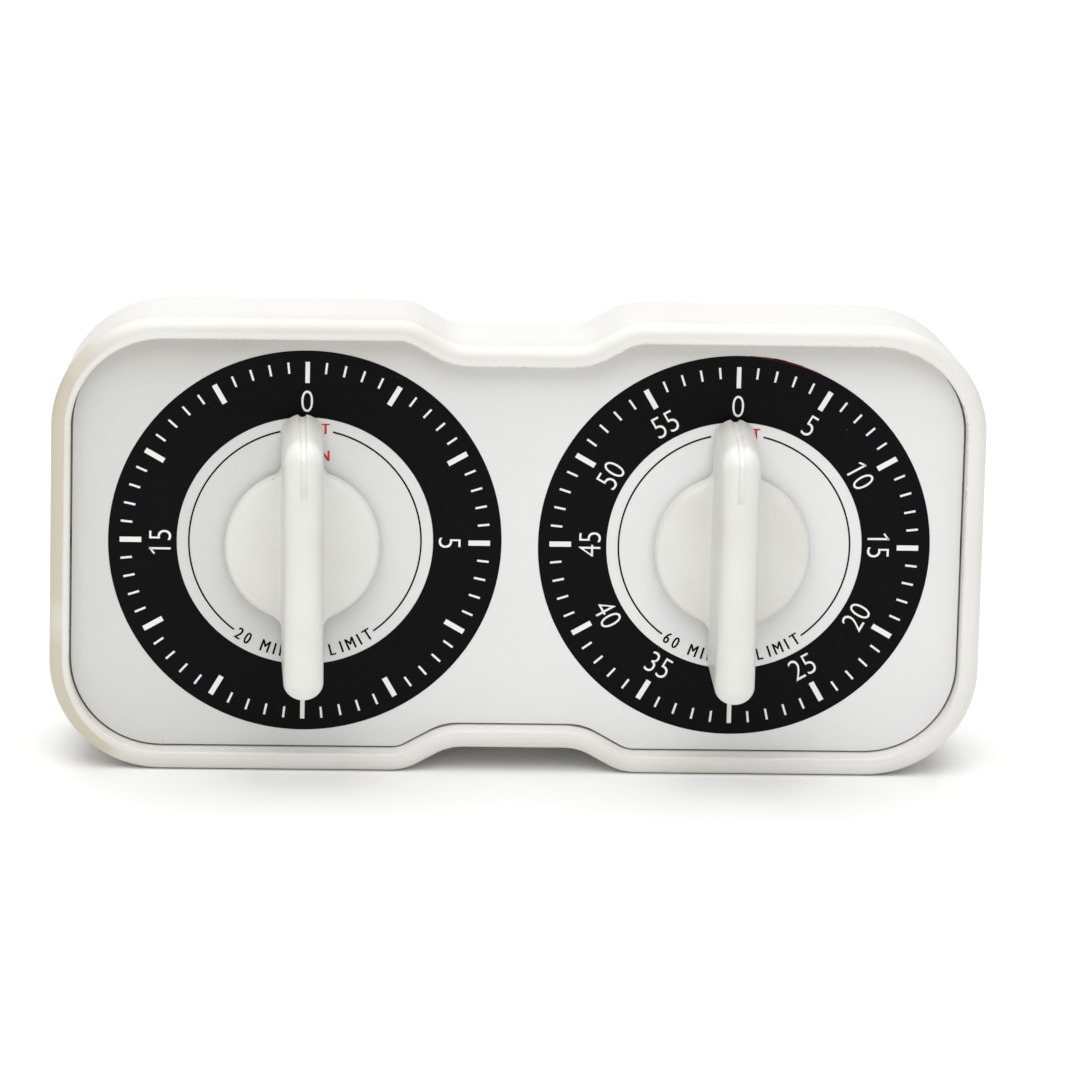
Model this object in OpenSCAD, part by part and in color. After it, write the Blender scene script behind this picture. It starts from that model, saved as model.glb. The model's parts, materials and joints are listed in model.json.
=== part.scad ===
// Twin kitchen timer: one moulded case, a face plate with two dials, and behind
// each dial a clockwork movement with its own knob, gear train and bell.
// Every piece is drawn as seen from the front: X to the right, Y up from the
// surface it stands on, and Z towards the reader, with Z = 0 on the face plate.
// front_view() then stands the drawing upright on the XY plane.

/* [Case] */
// Width across the front rim
case_w = 166; // [166:1:170]
// Height of the front rim
case_h = 83; // [82:1:86]
// Depth from the front rim to the back cover
case_depth = 32; // [32:0.5:36]
// Thickness of the case wall
wall = 2.2; // [1.8:0.1:2.6]
// Radius of the case's four corners, seen from the front
corner_r = 20; // [18:1:22]
// Depth from the front rim to the shoulder, where the case starts to draw in faster
shoulder_depth = 24; // [20:0.5:26]
// Size of the case at the shoulder as a share of the front
shoulder_scale = 0.98; // [0.97:0.005:0.985]
// Size of the back of the case as a share of the front
back_scale = 0.95; // [0.95:0.005:0.965]
// Width of the front rim around the face plate
rim_w = 3.5; // [3.2:0.1:4]
// Radius on the rim's outer edge
rim_round = 2; // [1:0.25:2.5]
// How far the face plate lies behind the rim
recess = 3.75; // [3:0.25:3.75]
// Depth of the notch in the middle of the top and bottom
waist_depth = 4.5; // [3:0.5:5]
// Length of the notch's flat, between its sharp corners
waist_flat = 23; // [18:1:28]
// Width of each slanted side of the notch
waist_slant = 8; // [6:0.5:10]

/* [Face] */
// Distance between the two dials' centres
dial_spacing = 76.5; // [76:0.5:78]
// Thickness of the face plate
plate_t = 2; // [1.75:0.25:2]
// Gap between the face plate and the rim
plate_gap = 0.35; // [0.2:0.05:0.6]

/* [Knobs] */
// Height of the grip above the face plate
knob_h = 23; // [18:0.5:24]
// Length of the grip
grip_l = 48; // [44:0.2:52]
// Width of the grip
grip_w = 7.5; // [7:0.1:9]
// Diameter of the knob's disc
disc_d = 27.7; // [25:0.1:30]
// Height of the disc's face above the face plate
disc_h = 4; // [3.5:0.25:5]
// Gap under the knob
knob_gap = 0.8; // [0.5:0.1:1.2]

/* [Movements] */
// Teeth on the first wheel of the left and right movement
great_teeth = [56, 60]; // [50:1:60]
// Teeth on the second wheel of the left and right movement
second_teeth = [50, 50]; // [45:1:50]
// Teeth on the third wheel of the left and right movement
third_teeth = [42, 48]; // [40:1:48]
// Gap between the two movement plates
plates_gap = 12.3; // [12:0.1:12.5]

/* [Hidden] */
$fn = 48;

LEFT = 0;
RIGHT = 1;
side_x = [-dial_spacing / 2, dial_spacing / 2];
dial_y = case_h / 2;
eps = 0.01;

// Levels along Z, from the front to the back
rim_widest = recess - rim_round;
plate_back = -plate_t;
ledge_t = 2;
ledge_back = plate_back - ledge_t;
boss_h = 2.5;
front_plate_face = plate_back - boss_h;
sheet_t = 1;
front_plate_back = front_plate_face - sheet_t;
rear_plate_face = front_plate_back - plates_gap;
rear_plate_back = rear_plate_face - sheet_t;
case_back = recess - case_depth;
shoulder_z = recess - shoulder_depth;
cover_t = 2;
cover_face = case_back + cover_t;
// Half of the difference between what stands in front of and behind the plate
stand_shift = -(knob_h + case_back) / 2;

// Levels inside the movement, each the front face of its piece
spring_z = front_plate_back - 0.6;
spring_t = 5;
third_wheel_z = front_plate_back - 2.1;
escape_wheel_z = front_plate_back - 4.4;
verge_z = front_plate_back - 5.7;
great_wheel_z = front_plate_back - 6.9;
great_wheel_t = 1.2;
clutch_t = 0.6;
cam_z = great_wheel_z - great_wheel_t - clutch_t;
cam_t = 1.2;
balance_z = cam_z;
second_wheel_z = front_plate_back - 10.4;
wheel_t = 1;

// Movement plates, pillars and screws
front_half_w = 34;
rear_half_w = 28;
half_h = 25;
sheet_corner_r = 3;
pillar_at = [[-25, -22], [-25, 22], [25, 22], [25, -22]];
pillar_r = 2;
pillar_tap_r = 0.9;
mount_at = [[-31, -14], [-31, 14], [31, -14], [31, 14]];
small_head_t = 1.2;

// Ledge, bosses and screw places
ledge_w = 2.5;
cover_clear = 0.25;
pilot_r = 1;
pilot_end = -0.7;
face_boss_r = 2.4;
mount_boss_r = 2.6;
pad_r = 4.6;
face_head_r = 3.2;
face_screw_x = dial_spacing / 2 + front_half_w + face_head_r + 0.05;
face_screw_at = [
    [0, waist_depth + 6.5], [0, case_h - waist_depth - 6.5],
    [-face_screw_x, case_h / 2], [face_screw_x, case_h / 2]
];
post_r = 3.2;
post_x = case_w / 2 - 12.5;
post_low = [post_x, 10];
post_high = [post_x - 1, case_h - 12.5];
post_at = [for (s = [-1, 1], p = [post_low, post_high]) [s * p[0], p[1]]];
screw_r = 1.1;
screw_l = 8;
cover_hole_r = 1.6;
cover_head_r = 2.8;
cover_head_t = 1.2;

// Keyholes and sound slots in the back cover
key_head_r = 4;
key_neck_r = 2;
key_rise = 6;
key_y = case_h * 0.8;
sound_slots = 5;
sound_slot_l = 16;
sound_slot_w = 2;
sound_pitch = 5;

// Arbors
arbor_r = 2.5;
arbor_front_r = 3;
arbor_rear_r = 2;
flat_at = 2.2;
arbor_tip = 13;
running = 0.06;
shaft_r = 1.2;
pivot_r = 0.7;

// Gear train: module of each pair and the directions between the arbors
great_m = 0.6;
second_m = 0.5;
third_m = 0.4;
great_pair = 70;
second_pair = 60;
third_pair = 56;
to_second = -20;
to_third = 60;
to_escape = 130;
to_verge = 150;
function polar(r, a) = [r * cos(a), r * sin(a)];
second_at = polar(great_pair * great_m / 2, to_second);
third_at = second_at + polar(second_pair * second_m / 2, to_third);
escape_at = third_at + polar(third_pair * third_m / 2, to_escape);
verge_at = escape_at + polar(8.5, to_verge);

// Escapement
escape_teeth = 15;
escape_r = 6;
pin_spread = 42;
pin_r = 0.3;
pin_reach = escape_r + 0.42;
balance_r = 7;

// Strike: the lever's arbor, the nose that rides on the cam, and the bell
lever_at = [-20, 12];
cam_r = 8;
nose_a = 215.7;
nose_r = 0.9;
nose_gap = 0.35;
bell_at = [2, -6];
bell_r = 18;
bell_t = 0.8;
bell_deep = 5.6;
bell_stud_r = 1.2;
bell_nut_t = 0.4;
bell_front = rear_plate_back - 1.2;
hammer_head_at = [-19, -6];
hammer_head_r = 2.2;

// Post at the mainspring's outer end
spring_post_at = [-16.2, 0];
spring_post_r = 1.2;

// Colours
ABS = "#E6E4DC";
FACE = "#E4E5E7";
COVER = "#D8D5CB";
KNOB = "#E9E8E3";
ZINC = "#C0C0C0";
BRASS = "#C9A24B";
STEEL = "#B9BDC1";
BLUED = "#4A5568";

// ---------- placing ----------

module front_view() {
    rotate([90, 0, 0])
        translate([0, 0, stand_shift])
            children();
}

module at_timer(side) {
    front_view()
        translate([side_x[side], dial_y, 0])
            children();
}

// A slice t thick whose front face is at z
module slab(z, t) {
    translate([0, 0, z - t])
        linear_extrude(t)
            children();
}

// A round rod from z_low to z_high
module rod(r, z_low, z_high) {
    translate([0, 0, z_low])
        cylinder(r = r, h = z_high - z_low);
}

// A strip of width w with round ends from p to q
module strip(p, q, w) {
    d = q - p;
    translate(p)
        circle(d = w);
    translate(q)
        circle(d = w);
    translate(p)
        rotate(atan2(d[1], d[0]))
            translate([0, -w / 2])
                square([norm(d), w]);
}

// ---------- case ----------

module rounded_box_2d(w, h, r) {
    offset(r = r, $fn = 64)
        translate([-w / 2 + r, r])
            square([w - 2 * r, h - 2 * r]);
}

module notch_2d() {
    polygon([
        [-waist_flat / 2 - waist_slant, -eps], [-waist_flat / 2, waist_depth],
        [waist_flat / 2, waist_depth], [waist_flat / 2 + waist_slant, -eps]
    ]);
}

// The rim's outline: a rounded oblong with a shallow notch top and bottom
module case_outline() {
    blend = 6;
    offset(r = -blend, $fn = 32)
        offset(r = 2 * blend, $fn = 32)
            offset(r = -blend, $fn = 32)
                difference() {
                    rounded_box_2d(case_w, case_h, corner_r);
                    notch_2d();
                    translate([0, case_h])
                        mirror([0, 1])
                            notch_2d();
                }
}

// The outline drawn in by a distance
module inset(d) {
    offset(delta = -d)
        case_outline();
}

// The case tapers a little to the shoulder and faster behind it, but stays flat underneath
module tapered(z_front, z_back, d) {
    translate([0, 0, z_front])
        mirror([0, 0, 1])
            linear_extrude(z_front - shoulder_z, scale = shoulder_scale)
                inset(d);
    translate([0, 0, shoulder_z])
        mirror([0, 0, 1])
            linear_extrude(shoulder_z - z_back, scale = back_scale / shoulder_scale)
                scale(shoulder_scale)
                    inset(d);
}

// The rim's rounded outer edge, in steps
module rim_edge() {
    steps = 4;
    for (i = [0 : steps - 1]) {
        low = rim_round * sin(90 * i / steps);
        high = rim_round * sin(90 * (i + 1) / steps);
        drawn_in = rim_round * (1 - cos(90 * (i + 0.5) / steps));
        translate([0, 0, rim_widest + low - eps])
            linear_extrude(high - low + eps)
                inset(drawn_in);
    }
}

module cover_posts() {
    web_l = 14;
    web_t = 1.6;
    for (p = post_at) {
        outward = [sign(p[0]), p[1] > case_h / 2 ? 1 : -1];
        translate([p[0], p[1], 0])
            rod(post_r, cover_face, plate_back - eps);
        // Web from the post to the corner
        translate([p[0], p[1], cover_face])
            rotate(atan2(outward[1], outward[0]))
                translate([0, -web_t / 2, 0])
                    cube([web_l, web_t, plate_back - cover_face - eps]);
    }
}

module case_shell() {
    color(ABS) front_view()
        difference() {
            union() {
                difference() {
                    union() {
                        rim_edge();
                        tapered(rim_widest, case_back, 0);
                    }
                    // Pocket for the face plate
                    translate([0, 0, plate_back])
                        linear_extrude(recess + plate_t + 1)
                            inset(rim_w);
                    // Way through the ledge
                    translate([0, 0, ledge_back - 1])
                        linear_extrude(ledge_t + 2)
                            inset(rim_w + ledge_w);
                    // Room for the movements
                    difference() {
                        tapered(rim_widest, case_back - 1, wall);
                        rod(case_w, ledge_back, rim_widest + 1);
                    }
                }
                intersection() {
                    tapered(rim_widest, case_back, 0.5);
                    cover_posts();
                }
                for (p = face_screw_at)
                    translate([p[0], p[1], 0])
                        rod(pad_r, ledge_back, plate_back);
            }
            for (p = face_screw_at)
                translate([p[0], p[1], 0])
                    rod(face_boss_r + 0.15, ledge_back - 1, plate_back + 1);
            for (p = post_at)
                translate([p[0], p[1], 0])
                    rod(screw_r, cover_face - 1, cover_face + screw_l);
        }
}

module face_plate() {
    color(FACE) front_view()
        difference() {
            union() {
                slab(0, plate_t)
                    inset(rim_w + plate_gap);
                for (p = face_screw_at)
                    translate([p[0], p[1], 0])
                        rod(face_boss_r, ledge_back, plate_back);
                for (x = side_x, p = mount_at)
                    translate([x + p[0], dial_y + p[1], 0])
                        rod(mount_boss_r, front_plate_face, plate_back);
            }
            for (p = face_screw_at)
                translate([p[0], p[1], 0])
                    rod(pilot_r, ledge_back - 1, pilot_end);
            for (x = side_x, p = mount_at)
                translate([x + p[0], dial_y + p[1], 0])
                    rod(pilot_r, front_plate_face - 1, pilot_end);
            for (x = side_x)
                translate([x, dial_y, 0])
                    rod(arbor_front_r + 0.6, -plate_t - 1, 1);
        }
}

module keyhole_2d() {
    circle(r = key_head_r);
    translate([0, key_rise])
        circle(r = key_neck_r);
    translate([-key_neck_r, 0])
        square([2 * key_neck_r, key_rise]);
}

module sound_slots_2d() {
    for (i = [0 : sound_slots - 1])
        translate([(i - (sound_slots - 1) / 2) * sound_pitch, 0])
            strip([0, -sound_slot_l / 2], [0, sound_slot_l / 2], sound_slot_w);
}

module rear_cover() {
    color(COVER) front_view()
        difference() {
            // Fits the case's own opening where the taper ends
            slab(cover_face, cover_t)
                scale(back_scale)
                    inset(wall + cover_clear);
            for (p = post_at)
                translate([p[0], p[1], 0]) {
                    rod(cover_hole_r, case_back - 1, cover_face + 1);
                    rod(cover_head_r, case_back - 1, case_back + cover_head_t);
                }
            for (x = side_x) {
                translate([x, key_y, 0])
                    slab(cover_face + 1, cover_t + 2)
                        keyhole_2d();
                translate([x + bell_at[0], dial_y + bell_at[1], 0])
                    slab(cover_face + 1, cover_t + 2)
                        sound_slots_2d();
            }
        }
}

// A screw seen from behind: head towards the back, shank towards the front
module screw(head_r, head_t, shank_r, length) {
    slot = 0.6;
    difference() {
        rod(head_r, -head_t, 0);
        // Driver slot
        translate([-head_r - 1, -slot / 2, -head_t - 1])
            cube([2 * head_r + 2, slot, 1 + head_t / 2]);
    }
    rod(shank_r, -eps, length);
}

module cover_screws() {
    color(ZINC) front_view()
        for (p = post_at)
            translate([p[0], p[1], case_back + cover_head_t])
                screw(cover_head_r - 0.3, cover_head_t, screw_r, screw_l);
}

module face_screws() {
    color(ZINC) front_view()
        for (p = face_screw_at)
            translate([p[0], p[1], ledge_back])
                screw(face_head_r, small_head_t, pilot_r, pilot_end - ledge_back - 0.5);
}

module movement_screws() {
    color(ZINC) front_view()
        for (x = side_x, p = mount_at)
            translate([x + p[0], dial_y + p[1], front_plate_back])
                screw(2, small_head_t, pilot_r, pilot_end - front_plate_back - 0.6);
}

module plate_screws() {
    color(ZINC) front_view()
        for (x = side_x, p = pillar_at)
            translate([x + p[0], dial_y + p[1], rear_plate_back])
                screw(1.8, 1, pillar_tap_r, 4);
}

// ---------- knob ----------

module disc_profile_2d() {
    edge = 1.2;
    square([disc_d / 2 - edge, disc_h - knob_gap]);
    square([disc_d / 2, disc_h - knob_gap - edge]);
    translate([disc_d / 2 - edge, disc_h - knob_gap - edge])
        circle(r = edge);
}

module grip() {
    r = grip_w / 2;
    reach = grip_l / 2 - r;
    translate([0, 0, knob_gap])
        linear_extrude(knob_h - r - knob_gap)
            strip([0, -reach], [0, reach], grip_w);
    translate([0, reach, knob_h - r])
        rotate([90, 0, 0])
            cylinder(r = r, h = 2 * reach);
    for (s = [-1, 1])
        translate([0, s * reach, knob_h - r])
            sphere(r = r);
}

// V groove that points to the time, down the end of the grip
module pointer_groove() {
    deep = 0.8;
    over = 0.5;
    start = 13.8;
    vee = [[-deep - over, over], [deep + over, over], [0, -deep]];
    translate([0, start, knob_h])
        rotate([-90, 0, 0])
            linear_extrude(grip_l)
                mirror([0, 1])
                    polygon(vee);
    translate([0, grip_l / 2, knob_gap - 1])
        linear_extrude(knob_h)
            polygon(vee);
}

module shaft_bore_2d(r) {
    difference() {
        circle(r = r);
        translate([-r, flat_at + 0.6])
            square([2 * r, r]);
    }
}

module knob() {
    hub_r = 5.5;
    rim_t = 1.6;
    hollow_h = 1.6;
    color(KNOB)
        difference() {
            union() {
                translate([0, 0, knob_gap])
                    rotate_extrude()
                        intersection() {
                            disc_profile_2d();
                            square(disc_d);
                        }
                grip();
            }
            pointer_groove();
            // Hollow under the disc, around the hub
            difference() {
                rod(disc_d / 2 - rim_t, knob_gap - 1, knob_gap + hollow_h);
                rod(hub_r, knob_gap - 2, knob_gap + hollow_h + 1);
            }
            translate([0, 0, knob_gap - 1])
                linear_extrude(arbor_tip + 0.5 - knob_gap + 1)
                    shaft_bore_2d(arbor_front_r + 0.04);
        }
}

// Leaf of spring steel between the shaft's flat and the knob
module knob_clip() {
    leaf = 0.4;
    leaf_w = 2.2;
    hook = 0.55;
    low = knob_gap + 0.4;
    high = arbor_tip - 1;
    color(STEEL) {
        translate([-leaf_w / 2, flat_at + 0.04, low])
            cube([leaf_w, leaf, high - low]);
        // Small hook that grips the hub
        translate([-leaf_w / 2, flat_at + 0.04, high])
            cube([leaf_w, hook, leaf]);
    }
}

// ---------- arbors, plates and springs ----------

module arbor() {
    color(STEEL) {
        difference() {
            rod(arbor_front_r, front_plate_back, arbor_tip);
            // Flat for the clip
            translate([-arbor_front_r, flat_at, knob_gap - 0.3])
                cube([2 * arbor_front_r, arbor_front_r, arbor_tip]);
        }
        rod(arbor_r, rear_plate_face + 0.2, front_plate_back + eps);
        rod(arbor_rear_r, rear_plate_back - 0.1, rear_plate_face + 0.2 + eps);
    }
}

// Pinion arbor with a pivot at each end and leaves between z_low and z_high
module pinion_arbor(teeth, m, z_high, z_low, turn) {
    rod(shaft_r, rear_plate_face + 0.2, front_plate_back - 0.2);
    rod(pivot_r, rear_plate_back, front_plate_face);
    translate([0, 0, z_low])
        linear_extrude(z_high - z_low)
            rotate(turn)
                gear_2d(teeth, m, 0.7, 1.45, [0.17, 0.17, 0.12, 0.04]);
}

// Points of a clock gear: add and ded in modules, w as half widths in shares
// of a tooth's pitch at the root, pitch circle, middle of the head and tip
function gear_points(n, m, add, ded, w) =
    let (
        r = n * m / 2,
        radii = [r - ded * m, r, r + add * m / 2, r + add * m],
        half = [for (k = [0 : 3]) [radii[k], w[k]]]
    )
    [
        for (i = [0 : n - 1], s = [-1, 1], k = [0 : 3])
            let (p = s < 0 ? half[k] : half[3 - k])
            polar(p[0], 360 / n * (i + s * p[1]))
    ];

module gear_2d(n, m, add, ded, w) {
    polygon(gear_points(n, m, add, ded, w));
}

// Wheel with round lightening holes, staked on an arbor of radius bore
module wheel(n, m, z, t, turn, bore, holes, hole_r, hole_at) {
    slab(z, t)
        difference() {
            rotate(turn)
                gear_2d(n, m, 0.9, 1.3, [0.25, 0.22, 0.15, 0.05]);
            circle(r = bore);
            for (i = [0 : holes - 1])
                rotate(360 * i / holes)
                    translate([hole_at, 0])
                        circle(r = hole_r);
        }
}

module plate_sheet_2d(half_w) {
    r = sheet_corner_r;
    for (s = [-1, 1])
        square([2 * half_w - (s + 1) * r, 2 * half_h - (1 - s) * r], center = true);
    for (x = [-1, 1], y = [-1, 1])
        translate([x * (half_w - r), y * (half_h - r)])
            circle(r = r);
}

module pivot_holes_2d() {
    for (p = [second_at, third_at, escape_at, verge_at])
        translate(p)
            circle(r = pivot_r + running);
}

module front_plate() {
    color(BRASS)
        slab(front_plate_face, sheet_t)
            difference() {
                plate_sheet_2d(front_half_w);
                circle(r = arbor_front_r + running);
                pivot_holes_2d();
                translate(lever_at)
                    circle(r = pivot_r + running);
                for (p = mount_at)
                    translate(p)
                        circle(r = pilot_r + 0.3);
            }
}

module rear_plate() {
    color(BRASS)
        slab(rear_plate_face, sheet_t)
            difference() {
                plate_sheet_2d(rear_half_w);
                circle(r = arbor_rear_r + running);
                pivot_holes_2d();
                translate(lever_at)
                    circle(r = shaft_r + running);
                for (p = pillar_at)
                    translate(p)
                        circle(r = pillar_tap_r);
            }
}

module pillars() {
    color(STEEL) {
        for (p = pillar_at)
            translate([p[0], p[1], 0])
                difference() {
                    rod(pillar_r, rear_plate_face, front_plate_back);
                    rod(pillar_tap_r, rear_plate_face - 1, rear_plate_face + 3.2);
                }
        // Short post that anchors the mainspring's outer end
        translate([spring_post_at[0], spring_post_at[1], 0])
            rod(spring_post_r, spring_z - spring_t, front_plate_back);
    }
}

// Clock spring wound from the arbor out to its post
module mainspring() {
    turns = 7.5;
    r_in = arbor_r + 0.4;
    r_out = -spring_post_at[0] - spring_post_r - 0.05;
    leaf = 0.35;
    per_turn = 24;
    last = turns * per_turn;
    function r_at(i) = r_in + leaf / 2 + (r_out - leaf - r_in) * i / last;
    color(BLUED)
        slab(spring_z, spring_t)
            polygon(concat(
                [for (i = [0 : last]) polar(r_at(i) - leaf / 2, 360 * i / per_turn)],
                [for (i = [last : -1 : 0]) polar(r_at(i) + leaf / 2, 360 * i / per_turn)]
            ));
}

// Dished washer that lets the knob slip past the first wheel
module clutch_spring() {
    z = great_wheel_z - great_wheel_t;
    washer_r = 6.5;
    washer_t = 0.3;
    color(STEEL)
        rotate_extrude()
            polygon([
                [arbor_r, z - clutch_t], [arbor_r, z - clutch_t + washer_t],
                [washer_r, z], [washer_r, z - washer_t], [arbor_r + 1.2, z - clutch_t]
            ]);
}

module strike_cam() {
    drop_r = 1.9;
    drop_arc = 20;
    color(BRASS)
        slab(cam_z, cam_t)
            difference() {
                circle(r = cam_r);
                circle(r = arbor_r);
                // Drop for the lever's nose, long enough for the last few degrees of turn
                for (a = [nose_a : -5 : nose_a - drop_arc])
                    translate(polar(cam_r, a))
                        circle(r = drop_r);
            }
}

// ---------- trains ----------

module great_wheel(side) {
    color(BRASS)
        wheel(great_teeth[side], great_m, great_wheel_z, great_wheel_t, to_second, arbor_r,
            holes = 5, hole_r = 3.6, hole_at = 10.4);
}

module second_pinion(side) {
    n = great_pair - great_teeth[side];
    color(STEEL)
        translate([second_at[0], second_at[1], 0])
            pinion_arbor(n, great_m, great_wheel_z + 0.4, great_wheel_z - great_wheel_t - 0.4,
                to_second + 180 + 180 / n);
}

module second_wheel(side) {
    color(BRASS)
        translate([second_at[0], second_at[1], 0])
            wheel(second_teeth[side], second_m, second_wheel_z, wheel_t, to_third, shaft_r,
                holes = 5, hole_r = 2.7, hole_at = 7.2);
}

module third_pinion(side) {
    n = second_pair - second_teeth[side];
    color(STEEL)
        translate([third_at[0], third_at[1], 0])
            pinion_arbor(n, second_m, second_wheel_z + 0.4, second_wheel_z - wheel_t - 0.2,
                to_third + 180 + 180 / n);
}

module third_wheel(side) {
    color(BRASS)
        translate([third_at[0], third_at[1], 0])
            wheel(third_teeth[side], third_m, third_wheel_z, wheel_t, to_escape, shaft_r,
                holes = 4, hole_r = 2, hole_at = 5);
}

module escape_pinion(side) {
    n = third_pair - third_teeth[side];
    color(STEEL)
        translate([escape_at[0], escape_at[1], 0])
            pinion_arbor(n, third_m, third_wheel_z + 0.4, third_wheel_z - wheel_t - 0.4,
                to_escape + 180 + 180 / n);
}

// Pointed teeth, set a quarter of a pitch to each side of the verge's pins
module escape_wheel() {
    pitch = 360 / escape_teeth;
    root_r = escape_r - 1.3;
    turn = to_verge - pin_spread - pitch / 4;
    tooth = [[root_r, -4.5], [escape_r, -0.8], [escape_r, 0.8], [root_r, 4.5]];
    color(BRASS)
        translate([escape_at[0], escape_at[1], 0])
            slab(escape_wheel_z, wheel_t)
                difference() {
                    rotate(turn)
                        polygon([
                            for (i = [0 : escape_teeth - 1], t = tooth) polar(t[0], pitch * i + t[1])
                        ]);
                    circle(r = shaft_r);
                    for (i = [0 : 3])
                        rotate(90 * i)
                            translate([2.9, 0])
                                circle(r = 1);
                }
}

module verge() {
    pins = [for (s = [-1, 1]) escape_at + polar(pin_reach, to_verge + s * pin_spread)];
    lever_t = 0.8;
    arm_w = 1.4;
    color(STEEL) {
        translate([verge_at[0], verge_at[1], 0]) {
            rod(shaft_r, rear_plate_face + 0.2, front_plate_back - 0.2);
            rod(pivot_r, rear_plate_back, front_plate_face);
        }
        slab(verge_z, lever_t)
            for (p = pins)
                strip(verge_at, p, arm_w);
        for (p = pins)
            translate([p[0], p[1], 0])
                rod(pin_r, verge_z - lever_t, escape_wheel_z + 0.1);
    }
}

module balance_wheel() {
    rim = 1.4;
    spoke_w = 1.6;
    hub_r = 2.2;
    color(BRASS)
        translate([verge_at[0], verge_at[1], 0])
            slab(balance_z, wheel_t)
                difference() {
                    union() {
                        difference() {
                            circle(r = balance_r);
                            circle(r = balance_r - rim);
                        }
                        strip([-balance_r + rim / 2, 0], [balance_r - rim / 2, 0], spoke_w);
                        circle(r = hub_r);
                    }
                    circle(r = shaft_r);
                }
}

// ---------- strike ----------

module strike_lever() {
    nose_at = polar(cam_r + nose_gap + nose_r, nose_a);
    elbow = polar(cam_r + 3, nose_a);
    z = cam_z - 0.1;
    arm_w = 1.8;
    hub_r = 2.4;
    color(STEEL) {
        translate([lever_at[0], lever_at[1], 0]) {
            rod(shaft_r, rear_plate_back - 1.7, front_plate_back - 0.2);
            rod(pivot_r, front_plate_back - 0.2 - eps, front_plate_face);
        }
        slab(z, wheel_t) {
            strip(lever_at, elbow, arm_w);
            strip(elbow, nose_at, 2 * nose_r);
            translate(lever_at)
                circle(r = hub_r);
        }
    }
}

module hammer() {
    z = rear_plate_back - 0.6;
    arm_w = 1.8;
    hub_r = 2.4;
    head_l = 4;
    color(STEEL)
        difference() {
            union() {
                slab(z, wheel_t) {
                    strip(lever_at, hammer_head_at, arm_w);
                    translate(lever_at)
                        circle(r = hub_r);
                }
                translate([hammer_head_at[0], hammer_head_at[1], 0])
                    rod(hammer_head_r, z - head_l, z);
            }
            translate([lever_at[0], lever_at[1], 0])
                rod(shaft_r, z - 2, z + 1);
        }
}

// Close-wound coil around the lever's arbor, with one leg to the plate's edge
module hammer_spring() {
    wire = 0.6;
    turns = 5;
    core = 0.1;
    coil_r = 1.85;
    leg_l = 8;
    leg_t = 0.4;
    top = front_plate_back;
    // Half rounds down one side of the coil
    ridge = [
        for (i = [0 : turns - 1], a = [0 : 45 : 135])
            [i * wire + wire / 2 * (1 - cos(a)), core + wire / 2 * sin(a)]
    ];
    last = [turns * wire, core];
    outside = [for (p = concat(ridge, [last])) [coil_r + p[1], top - p[0]]];
    inside = [for (p = concat(ridge, [last])) [coil_r - p[1], top - p[0]]];
    color(BLUED)
        translate([lever_at[0], lever_at[1], 0]) {
            rotate_extrude()
                polygon(concat(outside, [for (i = [len(inside) - 1 : -1 : 0]) inside[i]]));
            translate([-coil_r - leg_t / 2, 0, top - 0.5])
                cube([leg_t, leg_l, leg_t]);
        }
}

module bell() {
    crown = 3;
    hole_r = bell_stud_r;
    color(STEEL)
        translate([bell_at[0], bell_at[1], 0])
            rotate_extrude($fn = 72)
                difference() {
                    intersection() {
                        translate([bell_r - crown, bell_front - bell_deep + crown]) {
                            circle(r = crown);
                            translate([-bell_r, 0])
                                square([bell_r + crown, bell_deep]);
                            translate([-bell_r, -crown])
                                square([bell_r, crown + eps]);
                        }
                        translate([0, bell_front - bell_deep])
                            square([bell_r, bell_deep]);
                    }
                    intersection() {
                        translate([bell_r - crown, bell_front - bell_deep + crown]) {
                            circle(r = crown - bell_t);
                            translate([-bell_r, 0])
                                square([bell_r + crown - bell_t, bell_deep]);
                            translate([-bell_r, -crown + bell_t])
                                square([bell_r, crown]);
                        }
                        translate([0, bell_front - bell_deep + bell_t])
                            square([bell_r, bell_deep]);
                    }
                    // Hole for the stud
                    translate([0, bell_front - bell_deep - 1])
                        square([hole_r, bell_deep]);
                }
}

module bell_stud() {
    dome = bell_front - bell_deep + bell_t;
    color(STEEL)
        translate([bell_at[0], bell_at[1], 0]) {
            rod(2, dome, rear_plate_back);
            rod(bell_stud_r, dome - bell_t - bell_nut_t, dome + eps);
        }
}

module bell_nut() {
    color(BRASS)
        translate([bell_at[0], bell_at[1], 0])
            difference() {
                translate([0, 0, bell_front - bell_deep - bell_nut_t])
                    cylinder(r = 2.6, h = bell_nut_t, $fn = 6);
                rod(bell_stud_r, bell_front - bell_deep - 1, bell_front);
            }
}

// ---------- the two timers' pieces ----------

module at_left() {
    at_timer(LEFT)
        children();
}

module at_right() {
    at_timer(RIGHT)
        children();
}

case_shell();
face_plate();
rear_cover();
cover_screws();
face_screws();
movement_screws();
plate_screws();

at_left() knob();  // left_knob
at_left() knob_clip();  // left_knob_clip
at_left() arbor();  // left_arbor
at_left() great_wheel(LEFT);  // left_great_wheel
at_left() clutch_spring();  // left_clutch_spring
at_left() strike_cam();  // left_strike_cam
at_left() front_plate();  // left_front_plate
at_left() rear_plate();  // left_rear_plate
at_left() pillars();  // left_pillars
at_left() mainspring();  // left_mainspring
at_left() second_pinion(LEFT);  // left_second_pinion
at_left() second_wheel(LEFT);  // left_second_wheel
at_left() third_pinion(LEFT);  // left_third_pinion
at_left() third_wheel(LEFT);  // left_third_wheel
at_left() escape_pinion(LEFT);  // left_escape_pinion
at_left() escape_wheel();  // left_escape_wheel
at_left() verge();  // left_verge
at_left() balance_wheel();  // left_balance_wheel
at_left() strike_lever();  // left_strike_lever
at_left() hammer();  // left_hammer
at_left() hammer_spring();  // left_hammer_spring
at_left() bell();  // left_bell
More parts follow.
